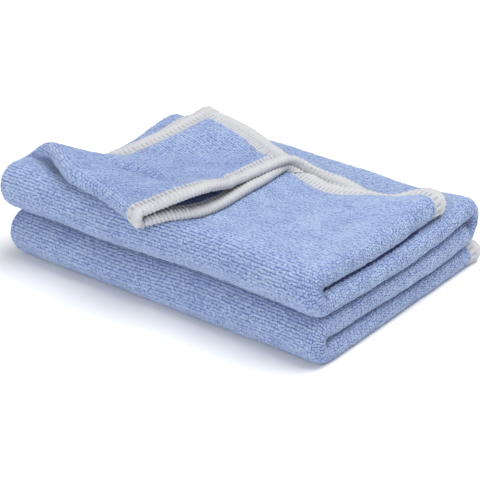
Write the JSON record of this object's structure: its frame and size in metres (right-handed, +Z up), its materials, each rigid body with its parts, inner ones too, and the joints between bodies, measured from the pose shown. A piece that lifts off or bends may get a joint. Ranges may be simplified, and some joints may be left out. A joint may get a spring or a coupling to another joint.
{
  "type": "folded microfibre cloth",
  "caption": "Small terry cleaning cloth with an overlocked edge, folded into a stacked pad with its top corner turned forward.",
  "frame": {"origin": "middle of the folded cloth's outline in plan, at the surface that it lies on", "axes": "+X along the long side, towards the side fold that stays closed; +Y from the front folds to the hems at the back; +Z up"},
  "size_m": [0.1413, 0.1042, 0.0456],
  "materials": {
    "blue_pile": "matt looped pile"
  },
  "bodies": {
    "root": {"cloth": "blue_pile"}
  },
  "joints": []
}
